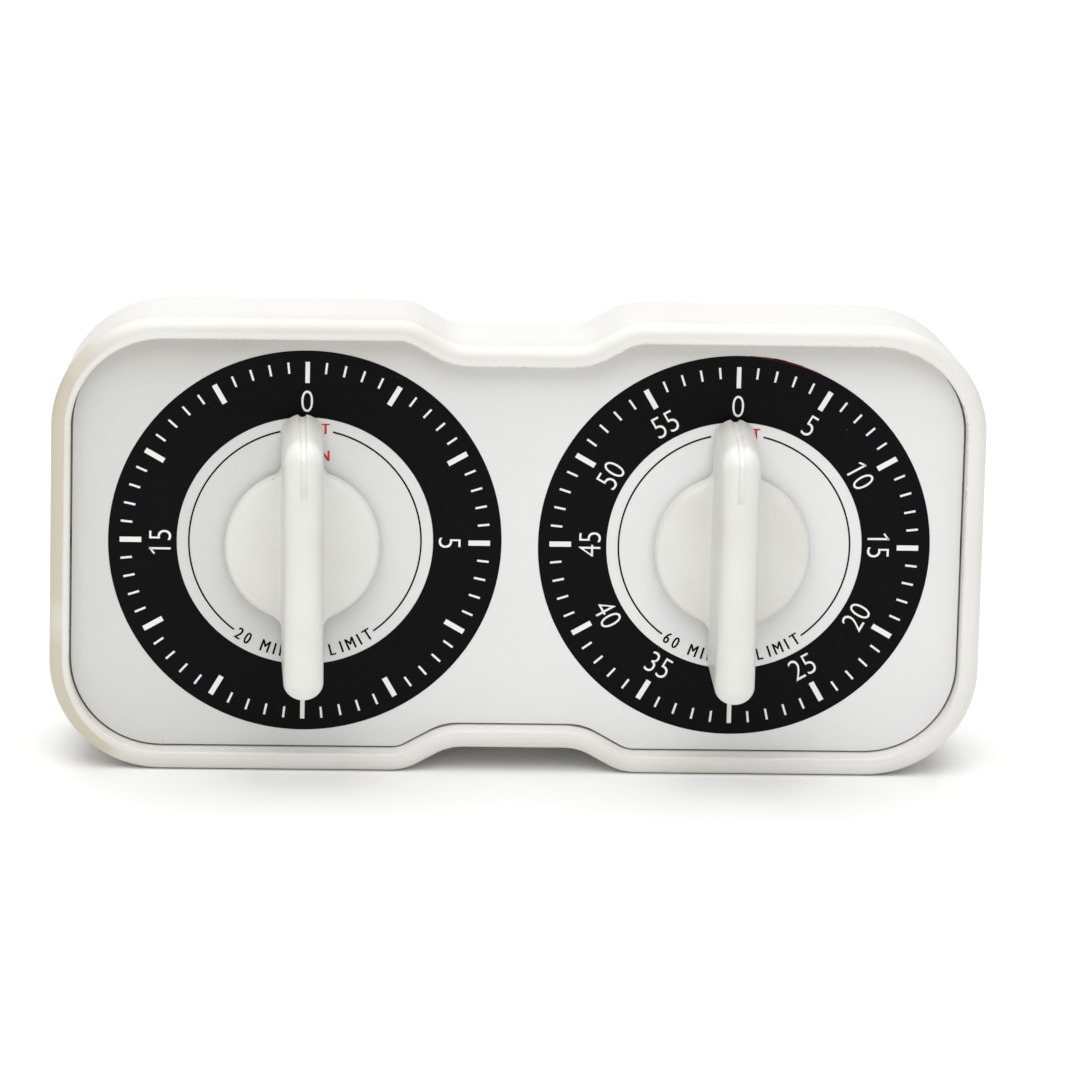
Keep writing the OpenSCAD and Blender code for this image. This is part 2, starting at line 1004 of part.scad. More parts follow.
at_left() bell_stud();  // left_bell_stud
at_left() bell_nut();  // left_bell_nut

at_right() knob();  // right_knob
at_right() knob_clip();  // right_knob_clip
at_right() arbor();  // right_arbor
at_right() great_wheel(RIGHT);  // right_great_wheel
at_right() clutch_spring();  // right_clutch_spring
at_right() strike_cam();  // right_strike_cam
at_right() front_plate();  // right_front_plate
at_right() rear_plate();  // right_rear_plate
at_right() pillars();  // right_pillars
at_right() mainspring();  // right_mainspring
at_right() second_pinion(RIGHT);  // right_second_pinion
at_right() second_wheel(RIGHT);  // right_second_wheel
at_right() third_pinion(RIGHT);  // right_third_pinion
at_right() third_wheel(RIGHT);  // right_third_wheel
at_right() escape_pinion(RIGHT);  // right_escape_pinion
at_right() escape_wheel();  // right_escape_wheel
at_right() verge();  // right_verge
at_right() balance_wheel();  // right_balance_wheel
at_right() strike_lever();  // right_strike_lever
at_right() hammer();  // right_hammer
at_right() hammer_spring();  // right_hammer_spring
at_right() bell();  // right_bell
at_right() bell_stud();  // right_bell_stud
at_right() bell_nut();  // right_bell_nut
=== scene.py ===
"""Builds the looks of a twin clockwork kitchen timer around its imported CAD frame.

Everything is in metres, in the frame's own axes: X to the right and Z up as seen
from the front, with the face looking along -Y. Outlines are drawn as seen from
the front, with x to the right, y up and z towards the reader, and stood upright
at the end.
"""

import json
import math

import bmesh
import bpy
from bpy.props import FloatProperty, FloatVectorProperty, PointerProperty
from mathutils import Matrix, Vector


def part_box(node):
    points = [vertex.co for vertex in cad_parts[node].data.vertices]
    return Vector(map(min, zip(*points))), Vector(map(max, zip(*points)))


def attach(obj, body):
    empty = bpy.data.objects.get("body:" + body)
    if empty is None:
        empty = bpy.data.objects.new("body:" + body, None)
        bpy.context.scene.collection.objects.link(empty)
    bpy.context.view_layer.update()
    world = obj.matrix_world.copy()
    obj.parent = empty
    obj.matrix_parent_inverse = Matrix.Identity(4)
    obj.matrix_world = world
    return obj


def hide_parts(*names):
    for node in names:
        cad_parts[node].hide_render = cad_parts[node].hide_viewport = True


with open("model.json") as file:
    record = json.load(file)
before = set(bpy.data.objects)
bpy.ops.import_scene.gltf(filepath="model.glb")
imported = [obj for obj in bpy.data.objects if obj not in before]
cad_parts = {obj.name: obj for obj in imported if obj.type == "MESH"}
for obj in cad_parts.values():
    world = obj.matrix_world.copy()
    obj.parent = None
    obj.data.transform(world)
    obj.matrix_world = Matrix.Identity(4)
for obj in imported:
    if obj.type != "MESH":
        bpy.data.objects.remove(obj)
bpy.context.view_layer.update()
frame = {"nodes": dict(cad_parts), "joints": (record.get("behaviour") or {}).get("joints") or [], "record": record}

bl_info = {
    "name": "Twin kitchen timer",
    "version": (1, 0, 0),
    "blender": (4, 5, 0),
    "location": "3D View > Sidebar > Kitchen timer",
    "description": "Case, printed dials, knobs, movement finishes and stage of a twin kitchen timer",
    "category": "Add Mesh",
}

MM = 0.001
SIDES = ("left", "right")
FULL_TURN = 2 * math.pi

CASE_LOW, CASE_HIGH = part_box("case_shell")
PLATE_LOW, PLATE_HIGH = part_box("face_plate")
KNOB_LOW, KNOB_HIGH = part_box("right_knob")
KNOB_GRIP_L = KNOB_HIGH.z - KNOB_LOW.z
KNOB_GRIP_W = 7.5 * MM
PLATE_Y = PLATE_LOW.y
CASE_W = CASE_HIGH.x - CASE_LOW.x
CASE_H = CASE_HIGH.z - CASE_LOW.z
RIM_LEVEL = PLATE_Y - CASE_LOW.y
BACK_LEVEL = PLATE_Y - CASE_HIGH.y
DIAL_AT = {
    side: Vector(joint["pos_m"])
    for side in SIDES
    for joint in frame["joints"]
    if joint["name"] == side + "_knob_turn"
}
UPRIGHT = Matrix.Translation((0, PLATE_Y, 0)) @ Matrix.Rotation(math.radians(90), 4, "X")


def srgb(code):
    """Linear RGBA of a "#rrggbb" sRGB colour."""
    parts = [int(code[i : i + 2], 16) / 255 for i in (1, 3, 5)]
    return (*[c / 12.92 if c <= 0.04045 else ((c + 0.055) / 1.055) ** 2.4 for c in parts], 1.0)


def length(name, description, default):
    """A length property in metres, shown in the scene's units."""
    return FloatProperty(
        name=name,
        description=description,
        default=default,
        min=0.0,
        precision=5,
        subtype="DISTANCE",
        unit="LENGTH",
    )


def number(name, description, default, **limits):
    """A plain number property, with limits where it has any."""
    return FloatProperty(name=name, description=description, default=default, **limits)


def colour(name, description, code):
    """A colour property whose default is a "#rrggbb" sRGB colour."""
    return FloatVectorProperty(
        name=name, description=description, default=srgb(code), size=4, min=0.0, max=1.0, subtype="COLOR"
    )


def angle(name, description, degrees):
    """An angle property, kept in radians."""
    return FloatProperty(name=name, description=description, default=math.radians(degrees), subtype="ANGLE")


# ---------- settings ----------


class CaseSettings(bpy.types.PropertyGroup):
    corner: length("Corner radius", "Radius of the case's four corners, seen from the front", 20 * MM)
    blend: length("Notch radius", "Radius where the notch's slants meet its flat and the case", 10 * MM)
    notch_depth: length("Notch depth", "Depth of the notch in the middle of the top and bottom", 4.5 * MM)
    notch_flat: length("Notch flat", "Length of the notch's flat, between its sharp corners", 23 * MM)
    notch_slant: length("Notch slant", "Width of each slanted side of the notch", 8 * MM)
    rim: length("Rim width", "Width of the front rim around the face plate", 3.5 * MM)
    rim_round: length("Rim rounding", "Radius on the rim's outer edge", 2 * MM)
    lip_round: length("Lip rounding", "Radius on the rim's inner edge", 0.45 * MM)
    back_round: length("Back rounding", "Radius on the back edge", 0.8 * MM)
    wall: length("Wall", "Thickness of the case wall", 2.2 * MM)
    plate: length("Plate thickness", "Thickness of the face plate that lies on the ledge", 2 * MM)
    ledge: length("Ledge", "Width and thickness of the ledge behind the face plate", 2.5 * MM)
    shoulder: length("Shoulder depth", "Depth from the rim to where the taper grows", 24 * MM)
    shoulder_scale: number("Shoulder scale", "Size there as a share of the front", 0.98, min=0.9, max=1.0)
    back_scale: number("Back scale", "Size of the back as a share of the front", 0.95, min=0.9, max=1.0)
    skin: colour("Case colour", "Colour of the moulded case", "#EDECE9")
    # The aged colour is also laid over the case's left end as painted shade
    aged_and_shaded: colour("Aged colour", "Colour where the case has yellowed", "#CFC8B4")
    grime: colour("Grime colour", "Colour of the dirt along the rim", "#93806A")


class FaceSettings(bpy.types.PropertyGroup):
    ring: length("Ring radius", "Outer radius of the black ring", 35 * MM)
    ring_inner: length("Inner radius", "Inner radius of the black ring", 22.8 * MM)
    tick_out: length("Tick end", "Radius at which the ticks end", 32.95 * MM)
    tick_short: length("Short tick start", "Radius at which a minute's tick starts", 30.9 * MM)
    tick_long: length("Long tick start", "Radius at which a five minute tick starts", 29.1 * MM)
    thin: length("Thin tick", "Width of a minute's tick", 0.38 * MM)
    thick: length("Thick tick", "Width of a five minute tick", 0.95 * MM)
    middle: length("Middle tick", "Width of the ticks at the very top and bottom", 0.78 * MM)
    numeral_r: length("Numeral radius", "Radius at the middle of the numerals", 25.75 * MM)
    numeral_h: length("Numeral height", "Height of the numerals", 3.9 * MM)
    hairline_r: length("Hairline radius", "Radius of the thin circle around the knob", 20.65 * MM)
    hairline: length("Hairline width", "Width of the thin circle", 0.3 * MM)
    caption_h: length("Caption height", "Height of the small letters on the thin circle", 2.15 * MM)
    bold: length("Bold", "How far apart a small letter is struck again to thicken it", 0.06 * MM)
    ink: length("Ink", "Height of the printing above the plate", 0.04 * MM)
    register_x: length("Register across", "How far right of the shafts the printing lies", 0.5 * MM)
    register_y: length("Register up", "How far above the shafts the printing lies", 0.3 * MM)
    skin: colour("Face colour", "Colour of the face plate", "#ECECEC")
    # The dull colour is painted shade: the plate is drawn darker towards its left end
    dull: colour("Dull face colour", "Colour of the face plate's left end", "#DADAD8")
    black: colour("Black ink", "Colour of the rings", "#08080B")
    white: colour("White ink", "Colour of the numerals and ticks", "#F2F2F0")
    red: colour("Red ink", "Colour of the words at zero", "#D23A22")


class KnobSettings(bpy.types.PropertyGroup):
    disc_h: length("Disc height", "Height of the disc's face above the plate", 4 * MM)
    disc_r: length("Disc radius", "Radius of the knob's disc", 13.85 * MM)
    disc_round: length("Disc rounding", "Radius on the disc's edge", 1.2 * MM)
    web: length("Web radius", "Radius in plan where the disc meets the grip", 2 * MM)
    foot: length("Foot radius", "Radius where the grip rises from the disc", 0.7 * MM)
    draft: length("Draft", "How much narrower the grip is at its crown, on each side", 0.2 * MM)
    groove_w: length("Groove width", "Width of the pointer groove", 1.5 * MM)
    groove_deep: length("Groove depth", "Depth of the pointer groove", 0.45 * MM)
    dome: length("Dome", "How much taller the rounding is at the grip's two ends", 2.5 * MM)
    groove_from: length("Groove start", "Height above the shaft at which the groove starts", 13.8 * MM)
    left_lean: angle("Left lean", "How far the left knob stands short of zero", 0.8)
    skin: colour("Knob colour", "Colour of the moulded knobs", "#E9E9E4")
    stain: colour("Stain colour", "Colour of old dirt in the groove and corners", "#C6C0B0")


class StageSettings(bpy.types.PropertyGroup):
    azimuth: angle("Azimuth", "How far the camera stands to the left of the face", 2.6)
    elevation: angle("Elevation", "How far the camera looks down", 15.6)
    distance: length("Distance", "Distance from the camera to the face", 1.5)
    across: length("View width", "Width of the view at the face", 192.4 * MM)
    roll: angle("Roll", "How far the camera is turned about its own view", 1.35)
    aim_right: length("Aim right", "How far right of the middle the camera aims", 4.1 * MM)
    aim_up: length("Aim up", "How far above the middle the camera aims", 1.0 * MM)
    key: number("Key light", "Power of the soft light above the face", 8.0)
    back: number("Back light", "Power of the soft light over the floor behind", 12.5)
    sky: number("Sky", "Strength of the even light from all round", 0.36)
    floor: colour("Floor colour", "Colour of the floor", "#FCFCFB")


# ---------- building blocks ----------


def mesh_from(bm, name):
    """Turns a drawing into a mesh."""
    mesh = bpy.data.meshes.new(name)
    bm.to_mesh(mesh)
    bm.free()
    return mesh


def piece_from(bm, name, body, slot, *materials):
    """Turns a drawing into an upright piece that rides on a body and has its finish."""
    bmesh.ops.recalc_face_normals(bm, faces=bm.faces)
    return place(mesh_from(bm, name), name, body, slot, *materials)


def place(mesh, name, body, slot, *materials, turn=Matrix.Identity(4)):
    """Stands a drawn mesh upright as a piece of that name, with smooth shading up to sharp edges."""
    mesh.transform(turn)
    mesh.transform(UPRIGHT)
    mesh.shade_smooth()
    mesh.set_sharp_from_angle(angle=math.radians(32))
    for material in materials:
        mesh.materials.append(material)
    obj = bpy.data.objects.new(name, mesh)
    bpy.context.scene.collection.objects.link(obj)
    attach(obj, body)
    return obj


def circle(radius, steps):
    """Points of a circle, anticlockwise from the right."""
    turns = [FULL_TURN * i / steps for i in range(steps)]
    return [(radius * math.cos(a), radius * math.sin(a)) for a in turns]


def loft(bm, loops, ring=False):
    """Joins closed loops of equally many points with quads; ring also joins the last loop to the first."""
    rows = [[bm.verts.new(co) for co in loop] for loop in loops]
    pairs = list(zip(rows, rows[1:]))
    if ring:
        pairs.append((rows[-1], rows[0]))
    for low, high in pairs:
        for i in range(len(low)):
            j = (i + 1) % len(low)
            bm.faces.new((low[i], low[j], high[j], high[i]))
    return rows


def tube(bm, at, outer, inner, low, high, steps=40):
    """A round tube along z, or a solid rod where inner is zero."""
    rounds = [(outer, low), (outer, high)] + ([(inner, high), (inner, low)] if inner else [])
    loops = [[(at[0] + x, at[1] + y, z) for x, y in circle(r, steps)] for r, z in rounds]
    rows = loft(bm, loops, ring=bool(inner))
    if not inner:
        bm.faces.new(rows[0])
        bm.faces.new(rows[-1])


def bar(bm, start, end, half, low, high):
    """A straight bar with square ends between two points, seen from the front."""
    along = (Vector(end) - Vector(start)).normalized()
    side = Vector((-along.y, along.x)) * half
    corners = [Vector(start) + side, Vector(start) - side, Vector(end) - side, Vector(end) + side]
    rows = loft(bm, [[(c.x, c.y, z) for c in corners] for z in (low, high)])
    bm.faces.new(rows[0])
    bm.faces.new(rows[1])


def arc_band(bm, radius, half, start, sweep, low, high):
    """A flat band along an arc; start and sweep are angles clockwise from the top."""
    steps = max(4, int(abs(sweep) / math.radians(1.5)))
    closed = abs(sweep) >= FULL_TURN - 1e-6
    count = steps if closed else steps + 1
    turns = [start + sweep * i / steps for i in range(count)]
    sections = []
    for turn in turns:
        across = Vector((math.sin(turn), math.cos(turn)))
        inner, outer = across * (radius - half), across * (radius + half)
        corners = [(inner, low), (outer, low), (outer, high), (inner, high)]
        sections.append([(p.x, p.y, z) for p, z in corners])
    rows = loft(bm, sections, ring=closed)
    if not closed:
        bm.faces.new(rows[0])
        bm.faces.new(rows[-1])


def rounded_outline(corners, step=math.radians(2.5)):
    """Points and outward normals of a closed outline with rounded corners.

    The corners are (x, y, radius), anticlockwise.
    """
    outline = []
    for i, (x, y, radius) in enumerate(corners):
        corner = Vector((x, y))
        before = (corner - Vector(corners[i - 1][:2])).normalized()
        after = (Vector(corners[(i + 1) % len(corners)][:2]) - corner).normalized()
        turn = math.atan2(before.x * after.y - before.y * after.x, before.dot(after))
        side = math.copysign(1, turn)
        centre = corner + (after - before).normalized() * radius / math.cos(turn / 2)
        first = math.atan2(-before.x, before.y)
        steps = max(2, math.ceil(abs(turn) / step))
        for k in range(steps + 1):
            a = first + turn * k / steps
            normal = Vector((math.cos(a), math.sin(a)))
            outline.append((centre + normal * radius * side, normal))
    return outline


def quarter(radius, steps, start=0.0):
    """Sine and cosine steps of a quarter round, scaled to its radius, from start as a share of it."""
    turns = [math.radians(90) * (start + (1 - start) * i / steps) for i in range(steps + 1)]
    return [(radius * math.sin(a), radius * math.cos(a)) for a in turns]


def node_islands(node):
    """The middle of each screw or post of a node that holds four, seen from the front."""
    low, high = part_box(node)
    middle = (low + high) / 2
    found = {}
    for vertex in frame["nodes"][node].data.vertices:
        co = vertex.co
        found.setdefault((co.x > middle.x, co.z > middle.z), []).append(co)
    return [
        ((min(c.x for c in cs) + max(c.x for c in cs)) / 2, (min(c.z for c in cs) + max(c.z for c in cs)) / 2)
        for cs in found.values()
    ]


# ---------- materials ----------

MIX_FACTOR, MIX_A, MIX_B, MIX_RESULT = 0, 6, 7, 2


def add(tree, kind, inputs=None, **settings):
    """Adds a shader node with its settings, and links or sets its inputs."""
    node = tree.nodes.new("ShaderNode" + kind)
    for name, value in settings.items():
        setattr(node, name, value)
    for name, value in (inputs or {}).items():
        if isinstance(value, bpy.types.NodeSocket):
            tree.links.new(value, node.inputs[name])
        else:
            node.inputs[name].default_value = value
    return node


def new_material(name, **inputs):
    """A material with one shader, whose even values are set on its own sockets."""
    material = bpy.data.materials.new(name)
    material.use_nodes = True
    tree = material.node_tree
    shader = tree.nodes["Principled BSDF"]
    for socket, value in inputs.items():
        shader.inputs[socket.replace("_", " ")].default_value = value
    return material, tree, shader


def share(tree, value, low, high):
    """How far a value has come from low to high, eased, from 0 to 1."""
    return add(
        tree, "MapRange", {"Value": value, "From Min": low, "From Max": high}, interpolation_type="SMOOTHSTEP"
    ).outputs["Result"]


def times(tree, a, b):
    """The product of two values."""
    return add(tree, "Math", {0: a, 1: b}, operation="MULTIPLY").outputs[0]


def stain(tree, factor, base, over):
    """A colour laid over another by a factor."""
    mix = add(tree, "Mix", {MIX_FACTOR: factor, MIX_A: base, MIX_B: over}, data_type="RGBA")
    return mix.outputs[MIX_RESULT]


def noise(tree, where, grain, detail, **inputs):
    """Smooth noise with clumps about a grain across."""
    settings = {"Vector": where, "Scale": 1 / grain, "Detail": detail, **inputs}
    return add(tree, "TexNoise", settings).outputs["Fac"]


def raise_skin(tree, shader, height, strength, depth):
    """Lays a height over the surface as bump."""
    bump = add(tree, "Bump", {"Height": height, "Strength": strength, "Distance": depth})
    tree.links.new(bump.outputs["Normal"], shader.inputs["Normal"])


def vary_gloss(tree, shader, value, low, high):
    """Lets the roughness follow a value between two ends."""
    spread = add(tree, "MapRange", {"Value": value, "To Min": low, "To Max": high})
    tree.links.new(spread.outputs["Result"], shader.inputs["Roughness"])


def specks(tree, where, spacing, size, few):
    """Small round specks about spacing apart and size across; few is the share of them that shows."""
    cells = add(tree, "TexVoronoi", {"Vector": where, "Scale": 1 / spacing})
    spot = share(tree, cells.outputs["Distance"], size / spacing, size / spacing * 0.5)
    pick = add(tree, "SeparateColor", {"Color": cells.outputs["Color"]}).outputs["Red"]
    chosen = add(tree, "Math", {0: pick, 1: few}, operation="LESS_THAN").outputs[0]
    return times(tree, spot, chosen)


def moulded_grain(tree, shader, where, grain, depth):
    """The faint unevenness of a moulded skin, as bump."""
    height = noise(tree, where, grain, 3.0)
    raise_skin(tree, shader, height, 0.35, depth)
    return height


def case_abs(s):
    """ABS, moulded in a polished tool: a warm white satin skin, yellowed and dirty along the rim, with painted
    shade darkening its left end.
    """
    material, tree, shader = new_material("abs_moulded_aged_and_shaded", IOR=1.54, Specular_IOR_Level=0.5)
    where = add(tree, "TexCoord").outputs["Object"]
    # Clouds of slight yellowing, 25 mm across
    cloud = noise(tree, where, 25 * MM, 4.0)
    patch = share(tree, cloud, 0.4, 0.75)
    # The attribute read here holds the rim's yellowing plus painted shade towards the case's left end
    age_and_shade = add(tree, "Attribute", attribute_name="age_and_shade").outputs["Fac"]
    yellow_and_shade = times(tree, age_and_shade, share(tree, cloud, 0.1, 0.85))
    skin = stain(tree, times(tree, patch, 0.08), s.skin, s.aged_and_shaded)
    skin = stain(tree, yellow_and_shade, skin, s.aged_and_shaded)
    # Dirt that has caught on the lip: a thin line of fine grains, dense in some stretches
    lip = add(tree, "Attribute", attribute_name="lip").outputs["Fac"]
    grains = noise(tree, where, 0.9 * MM, 4.0, Roughness=0.7)
    stretch = noise(tree, where, 14 * MM, 2.0)
    dense = share(tree, stretch, 0.3, 0.65)
    dirt = times(tree, times(tree, lip, dense), share(tree, grains, 0.42, 0.72))
    skin = stain(tree, times(tree, dirt, 0.75), skin, s.grime)
    skin = stain(tree, specks(tree, where, 8 * MM, 0.16 * MM, 0.4), skin, s.grime)
    tree.links.new(skin, shader.inputs["Base Color"])
    height = moulded_grain(tree, shader, where, 1.6 * MM, 0.02 * MM)
    vary_gloss(tree, shader, height, 0.34, 0.5)
    return material


def face_abs(s):
    """ABS, moulded flat and white: cooler and smoother than the case, with fine dust specks."""
    material, tree, shader = new_material("abs_moulded_white", IOR=1.54)
    where = add(tree, "TexCoord").outputs["Object"]
    cloud = noise(tree, where, 30 * MM, 3.0)
    skin = stain(tree, times(tree, share(tree, cloud, 0.35, 0.8), 0.25), s.skin, srgb("#E0E0DE"))
    # Painted shade: the plate is drawn darker towards its left end than at the right
    place_on = add(tree, "SeparateXYZ", {"Vector": where}).outputs
    skin = stain(tree, share(tree, place_on["X"], 0.012, -0.062), skin, s.dull)
    # Painted shadow: the plate is drawn darker, in a warm tint, under the top of the rim, where the rim shades it
    under = share(tree, place_on["Z"], CASE_H - 15 * MM, CASE_H - 3 * MM)
    skin = stain(tree, times(tree, under, 0.4), skin, srgb("#B4AE9F"))
    skin = stain(tree, specks(tree, where, 7 * MM, 0.16 * MM, 0.35), skin, srgb("#8F8C86"))
    tree.links.new(skin, shader.inputs["Base Color"])
    height = moulded_grain(tree, shader, where, 1.2 * MM, 0.01 * MM)
    vary_gloss(tree, shader, height, 0.38, 0.5)
    return material


def screen_ink(name, code, dust):
    """Screen ink, printed thick: an even satin coat with pinholes and dust in it."""
    material, tree, shader = new_material(name, IOR=1.5, Specular_IOR_Level=0.08)
    where = add(tree, "TexCoord").outputs["Object"]
    mottle = noise(tree, where, 0.8 * MM, 3.0)
    coat = stain(tree, times(tree, share(tree, mottle, 0.4, 0.9), 0.02), code, dust)
    coat = stain(tree, specks(tree, where, 3.2 * MM, 0.12 * MM, 0.25), coat, dust)
    tree.links.new(coat, shader.inputs["Base Color"])
    vary_gloss(tree, shader, mottle, 0.42, 0.58)
    return material


def knob_abs(s, name, soil):
    """ABS, moulded thick and handled for years: a soft gloss, with soil where fingers don't reach."""
    material, tree, shader = new_material(name, IOR=1.54)
    where = add(tree, "TexCoord").outputs["Object"]
    cloud = noise(tree, where, 9 * MM, 4.0)
    skin = stain(tree, times(tree, share(tree, cloud, 0.35, 0.8), soil), s.skin, s.stain)
    skin = stain(tree, specks(tree, where, 5 * MM, 0.16 * MM, 0.3), skin, srgb("#8A8478"))
    tree.links.new(skin, shader.inputs["Base Color"])
    # Fine handling scratches along the grip, a third of a millimetre apart
    along = add(tree, "Mapping", {"Vector": where, "Scale": (1.0, 1.0, 0.06)}).outputs["Vector"]
    scratch = noise(tree, along, 0.6 * MM, 2.0)
    raise_skin(tree, shader, scratch, 0.2, 0.01 * MM)
    vary_gloss(tree, shader, scratch, 0.26, 0.42)
    return material


def cover_abs():
    """ABS, moulded in a sparked tool: a matt warm grey with an even fine grit."""
    material, tree, shader = new_material("abs_moulded_sparked", IOR=1.54)
    where = add(tree, "TexCoord").outputs["Object"]
    # The real grit is about 0.1 mm; it is drawn at 0.5 mm so that it shows
    grit = noise(tree, where, 0.5 * MM, 2.0)
    cloud = noise(tree, where, 28 * MM, 3.0)
    skin = stain(tree, share(tree, cloud, 0.3, 0.8), srgb("#DEDBD1"), srgb("#D3CDBD"))
    skin = stain(tree, times(tree, share(tree, grit, 0.5, 0.75), 0.2), skin, srgb("#B9B3A4"))
    tree.links.new(skin, shader.inputs["Base Color"])
    raise_skin(tree, shader, grit, 0.5, 0.05 * MM)
    vary_gloss(tree, shader, grit, 0.55, 0.72)
    return material


def worked_metal(name, bright, dull, rough, stretch, grain):
    """A metal with the marks of how it was worked: fine lines stretched one way, and dull patches."""
    material, tree, shader = new_material(name, Metallic=1.0)
    where = add(tree, "TexCoord").outputs["Object"]
    lines = add(tree, "Mapping", {"Vector": where, "Scale": stretch}).outputs["Vector"]
    marks = noise(tree, lines, grain, 3.0)
    cloud = noise(tree, where, 6 * MM, 3.0)
    tone = stain(tree, share(tree, cloud, 0.35, 0.75), srgb(bright), srgb(dull))
    tree.links.new(tone, shader.inputs["Base Color"])
    raise_skin(tree, shader, marks, 0.3, 0.01 * MM)
    vary_gloss(tree, shader, marks, rough, rough + 0.15)
    return material


def floor_paint(code):
    """Matt painted board: an even pale ground with the faintest roller mottle."""
    material, tree, shader = new_material("painted_board", Roughness=0.9, Specular_IOR_Level=0.2)
    where = add(tree, "TexCoord").outputs["Object"]
    mottle = noise(tree, where, 40 * MM, 2.0)
    tone = stain(tree, times(tree, mottle, 0.1), code, srgb("#F0F0EE"))
    tree.links.new(tone, shader.inputs["Base Color"])
    return material


# ---------- case ----------


def case_outline(s):
    """The rim's outline from the front, anticlockwise: a rounded oblong with a notch top and bottom."""
    half, flat, wide = CASE_W / 2, s.notch_flat / 2, s.notch_flat / 2 + s.notch_slant
    low, high = s.notch_depth, CASE_H - s.notch_depth
    return rounded_outline(
        [
            (half, 0, s.corner),
            (half, CASE_H, s.corner),
            (wide, CASE_H, s.blend),
            (flat, high, s.blend),
            (-flat, high, s.blend),
            (-wide, CASE_H, s.blend),
            (-half, CASE_H, s.corner),
            (-half, 0, s.corner),
            (-wide, 0, s.blend),
            (-flat, low, s.blend),
            (flat, low, s.blend),
            (wide, 0, s.blend),
        ]
    )


def taper(s, level):
    """Size of the case at a level as a share of the front: a slight taper, then a faster one."""
    widest, shoulder = RIM_LEVEL - s.rim_round, RIM_LEVEL - s.shoulder
    if level >= widest:
        return 1.0
    if level >= shoulder:
        return 1 - (1 - s.shoulder_scale) * (widest - level) / (widest - shoulder)
    return s.shoulder_scale - (s.shoulder_scale - s.back_scale) * (shoulder - level) / (shoulder - BACK_LEVEL)


def case_section(s):
    """The wall's section as (inset, level, age, lip) from the back edge, over the rim and back inside.

    age is how much the plastic there has yellowed, and lip how much dirt it catches; painted shade towards the
    case's left end is added to the age when the case is built.
    """
    widest = RIM_LEVEL - s.rim_round
    hold = 0.15 * MM
    lip = s.rim - s.lip_round
    ledge_back = -s.plate - s.ledge * 0.8
    section = [
        (s.back_round - out, BACK_LEVEL + s.back_round - up, 0.2, 0)
        for out, up in quarter(s.back_round, 5)
    ]
    section += [(0, BACK_LEVEL + s.back_round + hold, 0.15, 0)]
    shoulder = RIM_LEVEL - s.shoulder
    section += [(0, shoulder + step * MM, 0.15, 0) for step in (-1.2, -0.4, 0.4, 1.2)]
    section += [(0, widest - 6 * MM, 0.15, 0)]
    section += [(0, widest - 1.5 * MM, 0.4, 0)]
    section += [(s.rim_round - back, widest + up, 0.6, 0) for up, back in quarter(s.rim_round, 9)]
    section += [(s.rim_round + 0.4 * MM, RIM_LEVEL, 0.35, 0), (lip - 0.6 * MM, RIM_LEVEL, 0.2, 0)]
    section += [(lip - hold, RIM_LEVEL, 0.2, 0)]
    section += [
        (lip + out, RIM_LEVEL - s.lip_round + up, 0.2, out / s.lip_round)
        for out, up in quarter(s.lip_round, 5)
    ]
    section += [(s.rim, RIM_LEVEL - s.lip_round - 0.3 * MM, 0.2, 0.5), (s.rim, 0.6 * MM, 0.2, 0.1)]
    section += [(s.rim, 0.2 * MM, 0.3, 0.8), (s.rim, -s.plate, 0.3, 1)]
    section += [(s.rim + s.ledge, -s.plate, 0, 0), (s.rim + s.ledge, ledge_back, 0, 0)]
    section += [(s.wall, ledge_back, 0, 0), (s.wall, shoulder, 0, 0), (s.wall, BACK_LEVEL, 0.1, 0)]
    return section


class KITCHENTIMER_OT_case(bpy.types.Operator):
    """Builds the moulded case: the tapered wall, the rounded rim, the ledge and the cover's posts"""

    bl_idname = "kitchen_timer.case"
    bl_label = "Case"

    POST_R, POST_BORE, POST_GAP = 3.2 * MM, 1.15 * MM, 0.1 * MM
    PAD_R, PAD_BORE, PAD_T = 4.6 * MM, 2.55 * MM, 2 * MM
    FACE_SCREW_HEAD_R = 3.2 * MM

    def execute(self, context):
        s = context.scene.timer_case
        outline = case_outline(s)
        section = case_section(s)
        loops = []
        for inset, level, _, _ in section:
            size = taper(s, level) if inset < s.rim else 1.0
            inward = [(p - n * inset) * size for p, n in outline]
            loops.append([(p.x, p.y, level) for p in inward])
        bm = bmesh.new()
        age_and_shade, lip = (bm.verts.layers.float.new(name) for name in ("age_and_shade", "lip"))
        for row, (_, _, row_age, row_lip) in zip(loft(bm, loops, ring=True), section):
            for vertex in row:
                # Painted shade darkens the case towards its left end, most on the rim and low down, on top of the
                # rim's yellowing, and dirt hangs under the top of the rim
                across, up = vertex.co.x / CASE_W, vertex.co.y / CASE_H
                left_shade = max(0.0, -across - 0.42) / 0.08 * (1.4 - up)
                vertex[age_and_shade] = row_age * (0.6 - 0.8 * across + 6 * left_shade * row_age)
                vertex[lip] = row_lip if up > 0.6 else 0.12 * row_lip
        self.posts(bm, s)
        obj = piece_from(bm, "case", "case", "case_plastic", case_abs(s))
        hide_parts("case_shell")
        return {"FINISHED"}

    def posts(self, bm, s):
        """The four posts that take the cover's screws, and the pads around the face plate's bosses."""
        cover_level = PLATE_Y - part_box("rear_cover")[0].y
        for at in node_islands("cover_screws"):
            tube(bm, at, self.POST_R, self.POST_BORE, cover_level, -s.plate - self.POST_GAP)
        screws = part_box("face_screws")
        middle_x, middle_y = (screws[0].x + screws[1].x) / 2, (screws[0].z + screws[1].z) / 2
        reach_x = screws[1].x - middle_x - self.FACE_SCREW_HEAD_R
        reach_y = screws[1].z - middle_y - self.FACE_SCREW_HEAD_R
        for dx, dy in ((reach_x, 0), (-reach_x, 0), (0, reach_y), (0, -reach_y)):
            at = (middle_x + dx, middle_y + dy)
            tube(bm, at, self.PAD_R, self.PAD_BORE, -s.plate - self.PAD_T, -s.plate)


# ---------- dials ----------


